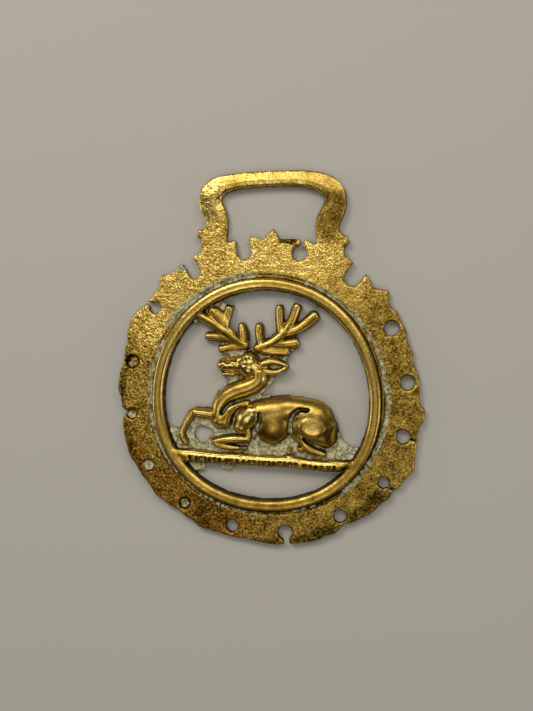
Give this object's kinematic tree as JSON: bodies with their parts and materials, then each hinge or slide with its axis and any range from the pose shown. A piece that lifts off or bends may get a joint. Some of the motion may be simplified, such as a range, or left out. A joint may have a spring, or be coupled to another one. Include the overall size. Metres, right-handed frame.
{
  "type": "horse brass",
  "caption": "Flat cast brass harness ornament: pierced, worn rim around a moulded ring that frames a lying stag on a reeded bar, with a strap loop at the top.",
  "frame": {"origin": "middle of the underside of the bounding box; the brass lies on its flat back", "axes": "+Z out of the decorated front, +Y towards the strap loop, +X to the right seen from the front"},
  "size_m": [0.077, 0.093, 0.0054],
  "materials": {
    "brass": "aged sand-cast brass, golden where worn, olive-brown in the recesses with pale grey-green verdigris"
  },
  "bodies": {
    "root": {"horse_brass": "brass"}
  },
  "joints": []
}
